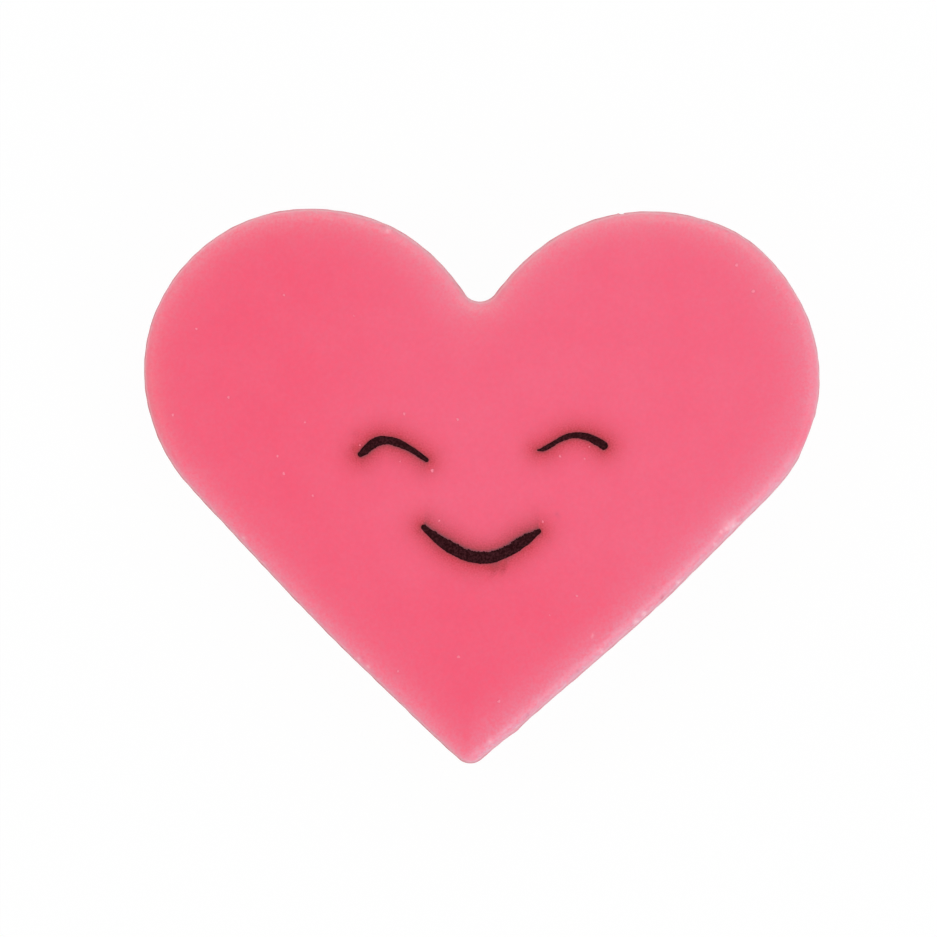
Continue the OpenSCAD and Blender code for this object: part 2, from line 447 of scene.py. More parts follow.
class Studio(bpy.types.PropertyGroup):
    """Camera and light of the studio."""

    view_width: FloatProperty(
        name="View Width", default=55.44 * MM, unit="LENGTH", precision=5,
        description="Width that the picture takes in at the height of the parting line",
    )
    camera_distance: FloatProperty(
        name="Camera Distance", default=1.0, unit="LENGTH",
        description="Height of the camera above the parting line",
    )
    aim: FloatVectorProperty(
        name="Aim", default=(-0.738 * MM, 1.083 * MM), size=2, unit="LENGTH", precision=5,
        description="Point of the heart under the middle of the picture",
    )
    turn: FloatProperty(
        name="Turn", default=radians(0.535), subtype="ANGLE",
        description="How far the heart lies turned clockwise in the picture",
    )
    key: FloatProperty(
        name="Key Light", default=3.3, unit="POWER",
        description="Power of the broad light from the lower right",
    )
    fill: FloatProperty(
        name="Fill Light", default=2.0, unit="POWER",
        description="Power of each of the two weaker lights",
    )


class HeartEraser(bpy.types.PropertyGroup):
    """All settings of the eraser."""

    heart: PointerProperty(type=HeartSizes, name="Heart")
    face: PointerProperty(type=FaceSizes, name="Face")
    finish: PointerProperty(type=Finish, name="Finish")
    studio: PointerProperty(type=Studio, name="Studio")


def polar(angle):
    """Unit vectors at the given angles."""
    return np.stack([np.cos(angle), np.sin(angle)], -1)


def side_arcs(s, tip):
    """Flank, lobe and shoulder arcs of the right side, for a tip centred at tip, as centre x, centre y,
    radius, start and end angle. Neighbouring arcs share their tangent, so their centres lie in line with the
    point where they meet."""
    lobe = np.array([s.lobe_x, 0.0])
    shoulder = lobe - (s.shoulder_r - s.lobe_r) * polar(s.shoulder_at)
    rise = sqrt((s.shoulder_r + s.notch_r) ** 2 - shoulder[0] ** 2)
    notch_dir = atan2(rise, -shoulder[0])
    lobe_arm, tip_arm = s.flank_r - s.lobe_r, s.flank_r - s.tip_r
    reach = hypot(*(tip - lobe))
    corner = acos((reach**2 + lobe_arm**2 - tip_arm**2) / (2 * reach * lobe_arm))
    flank_dir = atan2(tip[1] - lobe[1], tip[0] - lobe[0]) + pi - corner
    flank = lobe - lobe_arm * polar(flank_dir)
    tip_dir = atan2(tip[1] - flank[1], tip[0] - flank[0])
    return [
        (*flank, s.flank_r, tip_dir, flank_dir),
        (*lobe, s.lobe_r, flank_dir, s.shoulder_at),
        (*shoulder, s.shoulder_r, s.shoulder_at, notch_dir),
    ]


def heart_arcs(s):
    """The closed chain of arcs, counter-clockwise from the right end of the tip, and the notch's centre. The
    last column of each row is 1 where the arc bulges outwards and -1 on the notch's hollow round."""
    tip = np.array([-s.tip_lean, -s.tip_drop])
    right, opposite = side_arcs(s, tip), side_arcs(s, tip * (-1, 1))
    shoulder_x, shoulder_y, shoulder_r, _, notch_dir = right[-1]
    notch_y = shoulder_y + sqrt((shoulder_r + s.notch_r) ** 2 - shoulder_x**2)
    left = [(-x, y, r, pi - end, pi - start) for x, y, r, start, end in reversed(opposite)]
    notch = (0.0, notch_y, s.notch_r, notch_dir - pi, -notch_dir)
    tip_round = (*tip, s.tip_r, pi - opposite[0][3], 2 * pi + right[0][3])
    arcs = [(*a, 1) for a in right] + [(*notch, -1)] + [(*a, 1) for a in left] + [(*tip_round, 1)]
    return np.array(arcs), np.array([0.0, notch_y])


def walk(arcs, columns):
    """Points in even steps round the chain of arcs, and the outward direction at each: the place along the
    whole line gives the arc, and the place along that arc gives the angle."""
    x, y, radius, start, end, side = arcs.T
    length = radius * np.abs(end - start)
    ends = np.cumsum(length)
    along = np.arange(columns) / columns * ends[-1]
    k = np.searchsorted(ends, along, side="right")
    angle = start[k] + (end - start)[k] * (along - (ends - length)[k]) / length[k]
    points = np.stack([x[k], y[k]], 1) + radius[k, None] * polar(angle)
    return points, polar(angle) * side[k, None]


def wander(turn, waves, seed):
    """A smooth unevenness of about 1 either way along a line: a sum of sines of the given numbers of waves,
    with seeded phases."""
    phase = np.random.default_rng(seed).uniform(0, 2 * pi, len(waves))
    return np.sin(2 * pi * np.outer(turn, waves) + phase).sum(1) / sqrt(len(waves))


def uneven(points, outward, notch, s):
    """The outline as it was moulded: each swell moves it along its outward direction by a bell curve of the
    distance along it, and the notch leans over by a bell curve of the distance from it."""
    length = np.linalg.norm(np.roll(points, -1, 0) - points, axis=1).sum()
    along = np.arange(len(points)) / len(points) * length
    place, spread, height = SWELLS.T
    apart = (along[:, None] - place + length / 2) % length - length / 2
    swell = (height * np.exp(-((apart / spread) ** 2))).sum(1)
    near = np.exp(-((points - notch) ** 2).sum(1) / NOTCH_REACH**2)
    return points + swell[:, None] * outward - s.notch_lean * near[:, None] * (1, 0)


def middle_y(s):
    """Distance from the lobes' centres up to the middle of the heart's length, where the origin is."""
    shoulder_y = -(s.shoulder_r - s.lobe_r) * np.sin(s.shoulder_at)
    return (shoulder_y + s.shoulder_r - s.tip_drop - s.tip_r) / 2


def smoothstep(low, high, x):
    """0 below low and 1 above high, with a smooth turn between."""
    t = np.clip((x - low) / (high - low), 0, 1)
    return t * t * (3 - 2 * t)


def trimmed_flat(s):
    """The flat that the trimming knife left: the lobe's centre, the way the flat faces and its distance."""
    return np.array([s.lobe_x, 0.0]), polar(-s.trim_at), sqrt(s.lobe_r**2 - (s.trim_w / 2) ** 2)


def trimmed(points, s):
    """Points of the outline past the trimming knife's plane move back to it."""
    lobe, facing, reach = trimmed_flat(s)
    past = np.maximum((points - lobe) @ facing - reach, 0)
    return points - past[:, None] * facing


def chain(rings, first, last):
    """A closed surface through a chain of rings, as points and arrays of faces. Every ring turns
    counter-clockwise about the way from first to last, the points that close the two ends. A ring may have as
    many points as the one before it, half as many or twice as many: then three triangles join each two short
    edges to a long one."""
    starts = np.cumsum([1] + [len(r) for r in rings])
    faces = []

    def fan(centre, start, count, turned):
        """Triangles from the closing point to each side of the first or the last ring."""
        i = np.arange(count)
        a, b = start + i, start + (i + 1) % count
        faces.append(np.stack([np.full(count, centre), *((a, b) if turned else (b, a))], 1))

    fan(0, 1, len(rings[0]), False)
    for k in range(len(rings) - 1):
        n, m = len(rings[k]), len(rings[k + 1])
        i = np.arange(min(n, m))
        j = (i + 1) % len(i)
        if n == m:
            low, high = starts[k], starts[k + 1]
            faces.append(np.stack([low + i, low + j, high + j, high + i], 1))
        else:
            fine, coarse = (starts[k], starts[k + 1]) if n > m else (starts[k + 1], starts[k])
            odd, even, after = fine + 2 * i + 1, fine + 2 * i, fine + 2 * j
            a = np.stack([even, odd, coarse + i], 1)
            b = np.stack([odd, after, coarse + j], 1)
            c = np.stack([odd, coarse + j, coarse + i], 1)
            joined = np.concatenate([a, b, c])
            faces.append(joined if n > m else joined[:, ::-1])
    fan(starts[-1], starts[-2], len(rings[-1]), True)
    return np.concatenate([[first], *rings, [last]]), faces


def piece(name, surfaces, material, slot, *nodes):
    """One object of closed surfaces with smooth faces. It rides on the root body in place of the nodes."""
    points, faces, count = [], [], 0
    for surface_points, surface_faces in surfaces:
        points.append(surface_points)
        for group in surface_faces:
            faces += (group + count).tolist()
        count += len(surface_points)
    mesh = bpy.data.meshes.new(name)
    mesh.from_pydata(np.concatenate(points), [], faces)
    mesh.validate()
    mesh.shade_smooth()
    mesh.materials.append(material)
    made = bpy.data.objects.new(name, mesh)
    bpy.context.scene.collection.objects.link(made)
    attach(made, "root")
    if nodes:
        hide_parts(*nodes)
    return made


def paint(made, name, values):
    """Stores one number for each point of the piece, for its material to read."""
    layer = made.data.attributes.new(name, "FLOAT", "POINT")
    layer.data.foreach_set("value", np.asarray(values, np.float32))


def bells(points, marks):
    """The height of each mark at each point: a bell curve of the distance from the mark's middle. A mark is
    x, y and width in millimetres, and height."""
    away = np.linalg.norm(points[:, None] / MM - marks[:, :2], axis=2)
    return marks[:, 3] * np.exp(-((away / marks[:, 2]) ** 2))


def by_facing(facing, waves, *bumps):
    """A value that changes with the way that the edge faces: cosine waves plus bell curves of the angle."""
    turns, phase, strength = np.array(waves).T
    value = (strength * np.cos(turns * (facing[:, None] - np.radians(phase)))).sum(1)
    for middle, spread, height in bumps:
        off = (np.degrees(facing) - middle + 180) % 360 - 180
        value += height * np.exp(-((off / spread) ** 2))
    return value


def nearest(points, line):
    """Distance from each point to the closest point of a line of points, and which one that is."""
    squared = (points**2).sum(1)[:, None] + (line**2).sum(1) - 2 * points @ line.T
    k = squared.argmin(1)
    return np.sqrt(np.maximum(squared[np.arange(len(k)), k], 0)), k


def brush_lines(heart, face):
    """The three printed lines by name: centre points, headings, half widths and how far the two edges wander.
    Each centre line is a cubic curve from the outer end along its span, as wide as the brush presses."""
    mid = middle_y(heart)

    def line(x, drop, span, arch, tilt, bends, width, pressure, ragged, mirrored):
        t = np.linspace(0, 1, LINE_POINTS)[:, None]
        a, b = (np.array([share * span, rise * arch]) for share, rise in bends)
        curve = 3 * (1 - t) ** 2 * t * a + 3 * (1 - t) * t**2 * b + t**3 * (span, 0)
        turn = np.array([polar(-tilt), polar(-tilt + pi / 2)])
        curve = curve @ turn * (-1 if mirrored else 1, 1) + (x, -drop - mid)
        half = width / 2 * np.interp(t[:, 0] * (len(pressure) - 1), range(len(pressure)), pressure)
        blend = np.hanning(LINE_BLEND_POINTS)
        half = np.convolve(np.pad(half, len(blend) // 2, mode="edge"), blend / blend.sum(), "valid")
        slope = np.gradient(curve, axis=0)
        return curve, np.arctan2(slope[:, 1], slope[:, 0]), half, ragged

    f, eye_w, smile_w = face, face.eye_line_w, face.smile_line_w
    left = (f.face_x - f.eye_out, f.left_eye_drop, f.eye_span, f.left_eye_arch, f.eye_tilt)
    right = (f.face_x + f.eye_out, f.right_eye_drop, f.eye_span, f.right_eye_arch, f.eye_tilt)
    smile = (f.face_x - f.smile_span / 2, f.smile_drop, f.smile_span, f.smile_depth, f.smile_tilt)
    return {
        "left_eye": line(*left, LEFT_EYE_BENDS, eye_w, LEFT_EYE_PRESSURE, LEFT_EYE_WANDER, False),
        "right_eye": line(*right, RIGHT_EYE_BENDS, eye_w, RIGHT_EYE_PRESSURE, RIGHT_EYE_WANDER, True),
        "smile": line(*smile, SMILE_BENDS, smile_w, SMILE_PRESSURE, SMILE_WANDER, False),
    }


def curls_round(curve, points, k):
    """Whether each point is on the side that the line curls round, as seen from the line's own point k: the
    side of the middle between its two ends."""
    chord_middle = (curve[0] + curve[-1]) / 2
    return ((points - curve[k]) * (chord_middle - curve[k])).sum(-1) > 0


def ink_in_rubber(xy, lines):
    """How far the lines darken the rubber at each point, as painted shade where the ink keeps light out of
    the translucent rubber and as ink that has bled into it, and the share of ink that it has taken up there.
    Both fall off with the distance from a line's edge, the darkening as a flattened exponential and the share
    as two plain ones."""
    tint, taken_up = np.zeros(len(xy)), np.zeros(len(xy))
    for (curve, _, half_width, _), wide in zip(lines, INK_WIDE):
        away, k = nearest(xy, curve)
        away = np.maximum(away - half_width[k], 0) / MM
        inside = curls_round(curve, xy, k)
        share = np.where(inside, *INK_CLOSE) * np.exp(-away / INK_CLOSE_REACH)
        share += np.where(inside, wide, 0) * np.exp(-away / INK_WIDE_REACH)
        taken_up = np.maximum(taken_up, share)
        tint = np.maximum(tint, np.exp(-((away / INK_SHADE_REACH) ** INK_SHADE_FLATNESS)))
    smudge = bells(xy, INK_SMUDGES).sum(1)
    return np.minimum(tint + smudge, 1), taken_up + INK_SMUDGE_SHARE * smudge


def ink_film(curve, heading, half, ragged, seed):
    """The film of ink of one line: a flat-bottomed dome across the line, carried along it and closed by round
    ends. Its two edges wander, as wet ink does on rubber, more on the side that the line curls round."""
    middle = len(curve) // 2
    left_inside = curls_round(curve, curve[middle] + half[0] * polar(heading[middle] + pi / 2), middle)
    ragged = np.array(ragged if left_inside else ragged[::-1]) * MM
    turn = np.linspace(0, pi / 2, LINE_END_POINTS + 2)[1:-1]
    tip_in, tip_out = half[0] * polar(heading[0]), half[-1] * polar(heading[-1])
    centre = np.concatenate([
        curve[0] - np.cos(turn)[:, None] * tip_in,
        curve,
        curve[-1] + np.cos(turn)[::-1, None] * tip_out,
    ])
    wide = np.concatenate([half[0] * np.sin(turn), half, half[-1] * np.sin(turn)[::-1]])
    way = np.concatenate([np.full(len(turn), heading[0]), heading, np.full(len(turn), heading[-1])])
    share = np.linspace(0, 1, len(centre))
    fullness = np.sqrt(wide / wide.max())
    edges = [wide + ragged[k] * wander(share, INK_WAVES, seed + k) * fullness for k in (0, 1)]
    around = np.arange(LINE_LOOP_POINTS) / LINE_LOOP_POINTS * 2 * pi
    across = np.cos(around)
    height = (INK_TOP - BODY_HIGH.z) * np.maximum(np.sin(around), 0) ** INK_DOME_POWER
    left = polar(way + pi / 2)
    lateral = np.where(across > 0, edges[0][:, None] * across, edges[1][:, None] * across)
    flat = centre[:, None] + lateral[..., None] * left[:, None]
    lift = height * np.minimum(wide / INK_FULL_WIDTH, 1)[:, None]
    rings = np.concatenate([flat, BODY_HIGH.z + lift[..., None]], 2)
    ends = [np.array([*p, BODY_HIGH.z]) for p in (curve[0] - tip_in, curve[-1] + tip_out)]
    return chain(list(rings), *ends)


def crumb_dome(x, y, radius, height, seed):
    """One crumb: a small dome on the face, whose base wanders off round. Its rings are the base, drawn in to
    each share and lifted as a circle's arc, and a top point closes it."""
    around = np.arange(CRUMB_POINTS) / CRUMB_POINTS * 2 * pi
    base = radius * (1 + CRUMB_LUMPINESS * wander(around / (2 * pi), CRUMB_WAVES, seed))
    rings = [
        np.column_stack([
            np.array([x, y]) + (share * base)[:, None] * polar(around),
            np.full(len(around), BODY_HIGH.z + height * sqrt(1 - share**2)),
        ])
        for share in CRUMB_RINGS
    ]
    return chain(rings, np.array([x, y, BODY_HIGH.z]), np.array([x, y, BODY_HIGH.z + height]))


def add(tree, kind, inputs=None, out=0, **settings):
    """Adds a shader node and gives back one of its outputs. Settings are its own values; inputs gives sockets
    by name or number, each a value or the output that feeds it. A map range's sockets are 0 for the value, 1
    and 2 for the range that it comes from and 3 and 4 for the one that it goes to, and a mix's are 0 for the
    share and 6 and 7 for the two colours."""
    node = tree.nodes.new("ShaderNode" + kind)
    for name, value in settings.items():
        setattr(node, name, value)
    for key, value in (inputs or {}).items():
        if isinstance(value, bpy.types.NodeSocket):
            tree.links.new(value, node.inputs[key])
        else:
            node.inputs[key].default_value = value
    return node.outputs[out] if node.outputs else node


def new_material(name):
    """An empty node material, its tree and its Object coordinates."""
    material = bpy.data.materials.new(name)
    material.use_nodes = True
    tree = material.node_tree
    tree.nodes.clear()
    return material, tree, add(tree, "TexCoord", out="Object")


def moulded_rubber(look):
    """Soft PVC eraser rubber, moulded in a satin cavity. It is translucent: light leaks out milky round the
    edges and the side walls lie in shade. Beside the ink the rubber is darkened both by shade, where the ink
    keeps light out, and by ink that it has taken up. This light and shade is painted from distances and from
    the way that the edge faces, and the light also spreads below the surface. The cavity's fine grain gives a
    satin sheen with no clear reflection, and scuffs are whiter and rougher."""
    material, tree, place = new_material("moulded_soft_pvc_rubber")
    # Attributes: painted light leaking out of the edges, the warmth of the painted light and shade, painted
    # shade on the walls, painted shade and ink beside the lines, ink taken up, scuffs and dark specks
    painted = ("painted_edge_light", "painted_light_warmth", "wall", "ink_tint_and_shade", "ink_taken_up", "edge_scuff", "edge_dark_speck")
    pale, light_warmth, wall, tint, taken_up, scuff, dark_speck = (
        add(tree, "Attribute", out="Fac", attribute_name=name) for name in painted
    )
    # Cloudiness of the mix over a few millimetres, flecks of about 0.3 mm in it, the cavity's grain of about
    # 0.15 mm, and the grain of about 0.1 mm in which ink has seeped in
    cloud, fleck, grain, seep = (
        add(tree, "TexNoise", {"Vector": place, "Scale": 1 / (size * MM), "Detail": detail})
        for size, detail in ((2.6, 3.0), (0.3, 4.0), (0.15, 2.0), (0.1, 2.0))
    )
    clouded = add(tree, "MapRange", {0: cloud, 1: 0.3, 2: 0.7, 3: 0.01, 4: 0.05})
    grained = add(tree, "MapRange", {0: grain, 1: 0.2, 2: 0.8, 3: -0.05, 4: 0.05})
    flecked = add(tree, "MapRange", {0: fleck, 1: 0.3, 2: 0.7, 3: 0.75, 4: 1.25})
    dulled = add(tree, "MapRange", {0: fleck, 1: 0.3, 2: 0.7, 3: 0.0, 4: 0.16})
    seeped = add(tree, "MapRange", {0: seep, 1: 0.25, 2: 0.75, 3: 0.65, 4: 1.35})
    worn = add(tree, "MapRange", {0: fleck, 1: 0.35, 2: 0.6, 3: 0.5, 4: 1.0})

    # The deep colour turns paler to the right and upwards
    x, y = (add(tree, "SeparateXYZ", {0: place}, axis) for axis in "XY")
    right = add(tree, "MapRange", {0: x, 1: -12.5 * MM, 2: -2 * MM}, interpolation_type="SMOOTHSTEP")
    up = add(tree, "MapRange", {0: y, 1: -8 * MM, 2: -2.5 * MM}, interpolation_type="SMOOTHSTEP")
    upper_right = add(tree, "Math", {0: right, 1: up}, operation="MULTIPLY")
    paler = add(tree, "Math", {0: clouded, 1: grained})
    mottled = add(tree, "Math", {0: grained, 1: 4.0, 2: flecked}, operation="MULTIPLY_ADD")
    edge_light_share, ink_darkened, soaked, scuffed, specked = (
        add(tree, "Math", {0: a, 1: b}, operation="MULTIPLY")
        for a, b in ((pale, mottled), (tint, seeped), (taken_up, seeped), (scuff, worn), (dark_speck, 0.6))
    )
    # The painted edge light is cooler where the edge faces the key light at the lower right, and warmer
    # elsewhere
    cool_edge, warm_edge = rgba(look.rubber_edge), rgba(linear("#eaa8a9"))
    edge = add(tree, "Mix", {0: light_warmth, 6: cool_edge, 7: warm_edge}, 2, data_type="RGBA")
    # Painted shade on the side walls, warmer or cooler with the painted light
    cool_wall_shade, warm_wall_shade = rgba(look.wall_shade_colour), rgba(linear("#d0606c"))
    side = add(tree, "Mix", {0: light_warmth, 6: cool_wall_shade, 7: warm_wall_shade}, 2, data_type="RGBA")
    colour = rgba(look.rubber_left)
    # Layers on the deep pink: paler to the upper right, clouds, painted light leaking out of the edges,
    # painted shade on the side walls, dull flecks, painted shade and bled ink beside the lines, ink taken up,
    # scuffs and dark specks
    for blend, share, layer in (
        ("MIX", upper_right, rgba(look.rubber_right)),
        ("MIX", paler, cool_edge),
        ("MIX", edge_light_share, edge),
        ("MIX", wall, side),
        ("MULTIPLY", dulled, rgba((0.8, 0.8, 0.8))),
        ("MULTIPLY", ink_darkened, rgba(linear("#d88f8c"))),
        ("MIX", soaked, rgba(linear("#6e4650"))),
        ("MIX", scuffed, rgba(look.scuff)),
        ("MIX", specked, rgba(linear("#c04c6c"))),
    ):
        colour = add(tree, "Mix", {0: share, 6: colour, 7: layer}, 2, data_type="RGBA", blend_type=blend)
    roughening = add(tree, "Math", {0: scuffed, 1: grain})
    shader = add(
        tree,
        "BsdfPrincipled",
        {
            "Base Color": colour,
            "Roughness": add(tree, "MapRange", {0: roughening, 1: 0.3, 2: 1.6, 3: 0.44, 4: 0.7}),
            "Normal": add(tree, "Bump", {"Strength": 0.25, "Distance": 0.01 * MM, "Height": grain}),
            "IOR": 1.5,
            "Subsurface Weight": 0.6,
            "Subsurface Radius": (1.0, 0.45, 0.4),
            "Subsurface Scale": 0.5 * MM,
        },
    )
    add(tree, "OutputMaterial", {"Surface": shader})
    return material


def printed_ink(look):
    """Pad-printed black ink on pink rubber. It dries matt with hardly any shine, and is thin enough for
    specks of the rubber to tinge it red."""
    material, tree, place = new_material("pad_printed_black_ink")
    # Specks of about 0.12 mm where the film is thin, and rare light grey specks
    speck = add(tree, "TexNoise", {"Vector": place, "Scale": 1 / (0.12 * MM), "Detail": 3.0})
    thin = add(tree, "MapRange", {0: speck, 1: 0.42, 2: 0.82})
    grey_speck = add(tree, "MapRange", {0: speck, 1: 0.76, 2: 0.82, 3: 0.0, 4: 0.7})
    colour = rgba(look.ink)
    for share, layer in ((thin, "#4e262c"), (grey_speck, "#7c6468")):
        colour = add(tree, "Mix", {0: share, 6: colour, 7: rgba(linear(layer))}, 2, data_type="RGBA")
    shader = add(
        tree,
        "BsdfPrincipled",
        {
            "Base Color": colour,
            "Roughness": add(tree, "MapRange", {0: speck, 1: 0.3, 2: 0.7, 3: 0.6, 4: 0.75}),
            "Normal": add(tree, "Bump", {"Strength": 0.2, "Distance": 0.01 * MM, "Height": speck}),
            "Specular IOR Level": 0.04,
        },
    )
    add(tree, "OutputMaterial", {"Surface": shader})
    return material


def rubbed_crumbs():
    """Crumbs rubbed off the rubber, and dust. They are dull, and their broken faces scatter light, so they
    look paler than the rubber that they lie on."""
    material, tree, place = new_material("rubbed_off_rubber_crumbs")
    tint = add(tree, "TexNoise", {"Vector": place, "Scale": 1 / (2 * MM)})
    deep, pale = rgba(linear("#f2647f")), rgba(linear("#fb9db0"))
    colour = add(tree, "Mix", {0: tint, 6: deep, 7: pale}, 2, data_type="RGBA")
    shader = add(tree, "BsdfPrincipled", {"Base Color": colour, "Roughness": 0.8})
    add(tree, "OutputMaterial", {"Surface": shader})
    return material


def studio_paper():
    """White studio paper, matt. It looks plain white to the camera and in reflections, and keeps a share of
    the object's own soft shadow."""
    material, tree, _ = new_material("matt_white_studio_paper")
    white_share = 0.97
    seen = add(tree, "LightPath", out="Is Camera Ray")
    for kind in ("Is Glossy Ray", "Is Transmission Ray"):
        seen = add(tree, "Math", {0: seen, 1: add(tree, "LightPath", out=kind)}, operation="MAXIMUM")
    share = add(tree, "Math", {0: seen, 1: white_share}, operation="MULTIPLY")
    matt = add(tree, "BsdfDiffuse", {"Color": rgba(linear("#ececec"))})
    white = add(tree, "Emission", {"Color": (1, 1, 1, 1), "Strength": 1.0})
    add(tree, "OutputMaterial", {"Surface": add(tree, "MixShader", {0: share, 1: matt, 2: white})})
    return material


class ERASER_OT_mould_body(bpy.types.Operator):
    """Mould the rubber heart with its rounded edges, parting line, trimmed flat and scuffs"""

    bl_idname = "eraser.mould_body"
    bl_label = "Mould Body"

    def execute(self, context):
        settings = context.scene.heart_eraser
        s = settings.heart
        lift = np.array([0.0, -middle_y(s)])
        arcs, notch = heart_arcs(s)
        plain, outward = walk(arcs, COLUMNS)
        line = uneven(plain, outward, notch, s)
        half = THICKNESS / 2
        share = np.arange(COLUMNS) / COLUMNS
        flash_edge = FLASH_UNEVENNESS * s.flash * wander(share, FLASH_WAVES, FLASH_SEED)
        marks = bells(line + lift, FLASH_MARKS).sum(1) * MM

        def ring(inset, z):
            """The outline drawn in at one height: a shift against its outward direction, then the cut."""
            near_parting = np.exp(-(((z - half) / FLASH_MARK_REACH) ** 2))
            shift = marks * near_parting - inset
            flat = trimmed(line + shift[:, None] * outward, s) + lift
            flat = np.clip(flat, CAD_BOX[0].xy, CAD_BOX[1].xy)
            return np.column_stack([flat, np.full(COLUMNS, z)])

        # The section of one half, from a face to the parting line: an arc, the wall and the flash
        face_in = (half - s.edge_r) * tan(s.draft) + s.edge_r / np.cos(s.draft)
        a = np.linspace(0, pi / 2 - s.draft, EDGE_STEPS + 1)
        arc = np.column_stack([face_in - s.edge_r * np.sin(a), s.edge_r * (1 - np.cos(a))])
        down = np.linspace(0, 1, WALL_STEPS + 1)[1:] ** WALL_CROWDING
        wall_z = arc[-1, 1] + (half - FLASH_HEIGHT - arc[-1, 1]) * down
        wall = np.column_stack([(half - wall_z) * tan(s.draft), wall_z])
        lower = np.concatenate([arc, wall])
        section = [ring(inset + s.flash, z) for inset, z in lower]
        section.append(ring(flash_edge, half))
        section += [ring(inset + s.flash, THICKNESS - z) for inset, z in lower[::-1]]
        insets = np.concatenate([lower[:, 0], [0], lower[::-1, 0]])

        def face_rings(edge, shares, spacing):
            """Rings of a flat face, scaled towards its middle, with half the columns whenever they crowd."""
            middle = np.array([*(FACE_MIDDLE + lift), edge[0, 2]])
            closest = np.linalg.norm(edge[1] - edge[0])
            rings, stride = [], 1
            for share in shares:
                if closest * share * stride < spacing and stride * FEWEST_COLUMNS < COLUMNS:
                    stride *= 2
                rings.append(middle + share * (edge[::stride] - middle))
            return rings, middle

        back, back_middle = face_rings(section[0], 1 - np.arange(1, BACK_STEPS) / BACK_STEPS, BACK_SPACING)
        face, face_middle = face_rings(section[-1], FACE_SHARES, FACE_SPACING)
        surface = chain(back[::-1] + section + face, back_middle, face_middle)
        body = piece(
            "rubber_heart", [surface], moulded_rubber(settings.finish), "pink_rubber", "eraser_body"
        )

        points = surface[0]
        xy, z = points[:, :2], points[:, 2]
        first = 1 + sum(len(r) for r in back)
        in_section = slice(first, first + COLUMNS * len(insets))
        wall_in = (half - s.edge_r) * tan(s.draft)
        lobe, trim_facing, trim_reach = trimmed_flat(s)
        from_trim = np.linalg.norm(xy - lift - lobe - trim_reach * trim_facing, axis=1)
        at_trim = np.exp(-((from_trim / (s.trim_w / 2)) ** 2))

        def leaking(low, high):
            """Painted light that leaks out of the rounded edge from one part of the outline: it depends on
            the way that the edge faces the lamps, and fades inwards from the wall. Also the distance from
            that part and the way that it faces."""
            depth, column = nearest(xy, ring(0, half)[low:high, :2])
            column += low
            own = np.tile(np.arange(COLUMNS), len(insets))
            mine = (own >= low) & (own < high)
            depth[in_section] = np.where(mine, np.repeat(insets, COLUMNS), depth[in_section])
            column[in_section] = np.where(mine, own, column[in_section])
            facing = np.arctan2(outward[column, 1], outward[column, 0])
            leak = by_facing(facing, EDGE_LEAK, TIP_LEAK) * (1 - TRIM_SHADE * at_trim)
            fade = by_facing(facing, EDGE_FADE) * MM
            return leak * np.exp(-np.maximum(depth - wall_in, 0) / fade), depth, facing

        # The painted light leaking from the right and the left part of the outline, blended where they are
        # equally close, as above the tip
        right_leak, from_right, right_facing = leaking(0, COLUMNS // 2)
        left_leak, from_left, left_facing = leaking(COLUMNS // 2, COLUMNS)
        by_right = smoothstep(-FLANK_BLEND, FLANK_BLEND, from_left - from_right)
        facing = np.where(from_left < from_right, left_facing, right_facing)
        # Painted shade on the side walls: none on the faces, full below each rounded edge, with less of it in
        # the notch
        in_notch = np.exp(-((xy - lift - notch) ** 2).sum(1) / NOTCH_REACH**2)
        wall = smoothstep(*(depth * s.edge_r for depth in WALL_SHADE_SETS_IN), np.minimum(z, THICKNESS - z))
        # Painted light leaking out round the edges, and how warm the painted light and the painted wall shade
        # are
        paint(body, "painted_edge_light", by_right * right_leak + (1 - by_right) * left_leak)
        paint(body, "painted_light_warmth", by_facing(facing, EDGE_LIGHT_WARMTH, LEFT_LIGHT_WARMTH))
        paint(body, "wall", wall * by_facing(facing, WALL_SHADE) * (1 - NOTCH_SHADE_CUT * in_notch))

        # Marks and ink are on the printed face, and end on its rounded edge
        on_face = smoothstep(*(THICKNESS - depth * s.edge_r for depth in MARKS_SET_IN), z)
        paint(body, "edge_scuff", bells(xy, EDGE_SCUFFS).max(1) * on_face)
        paint(body, "edge_dark_speck", bells(xy, DARK_SPECKS).max(1) * on_face)
        # Painted shade beside the lines, where the ink keeps light out of the translucent rubber, with ink
        # that has bled and soaked in
        tint, taken_up = ink_in_rubber(xy, brush_lines(s, settings.face).values())
        paint(body, "ink_tint_and_shade", tint * on_face)
        paint(body, "ink_taken_up", taken_up * on_face)
        return {"FINISHED"}


class ERASER_OT_print_face(bpy.types.Operator):
    """Print the two closed eyes and the smile as films of ink"""

    bl_idname = "eraser.print_face"
    bl_label = "Print Face"

    def execute(self, context):
        settings = context.scene.heart_eraser
        material = printed_ink(settings.finish)
        for k, (name, line) in enumerate(brush_lines(settings.heart, settings.face).items()):
            film = ink_film(*line, INK_SEED_STEP * k)
            piece(name + "_ink", [film], material, "black_ink", name + "_line")
        return {"FINISHED"}


class ERASER_OT_drop_crumbs(bpy.types.Operator):
    """Drop crumbs of rubber and dust on the printed face"""

    bl_idname = "eraser.drop_crumbs"
    bl_label = "Drop Crumbs"

    def execute(self, context):
        height = CRUMB_HEIGHT * (INK_TOP - BODY_HIGH.z)
        crumbs = [crumb_dome(*crumb, height, CRUMB_SEED + k) for k, crumb in enumerate(CRUMBS * MM)]
        piece("rubber_crumbs", crumbs, rubbed_crumbs(), "pink_rubber")
        return {"FINISHED"}


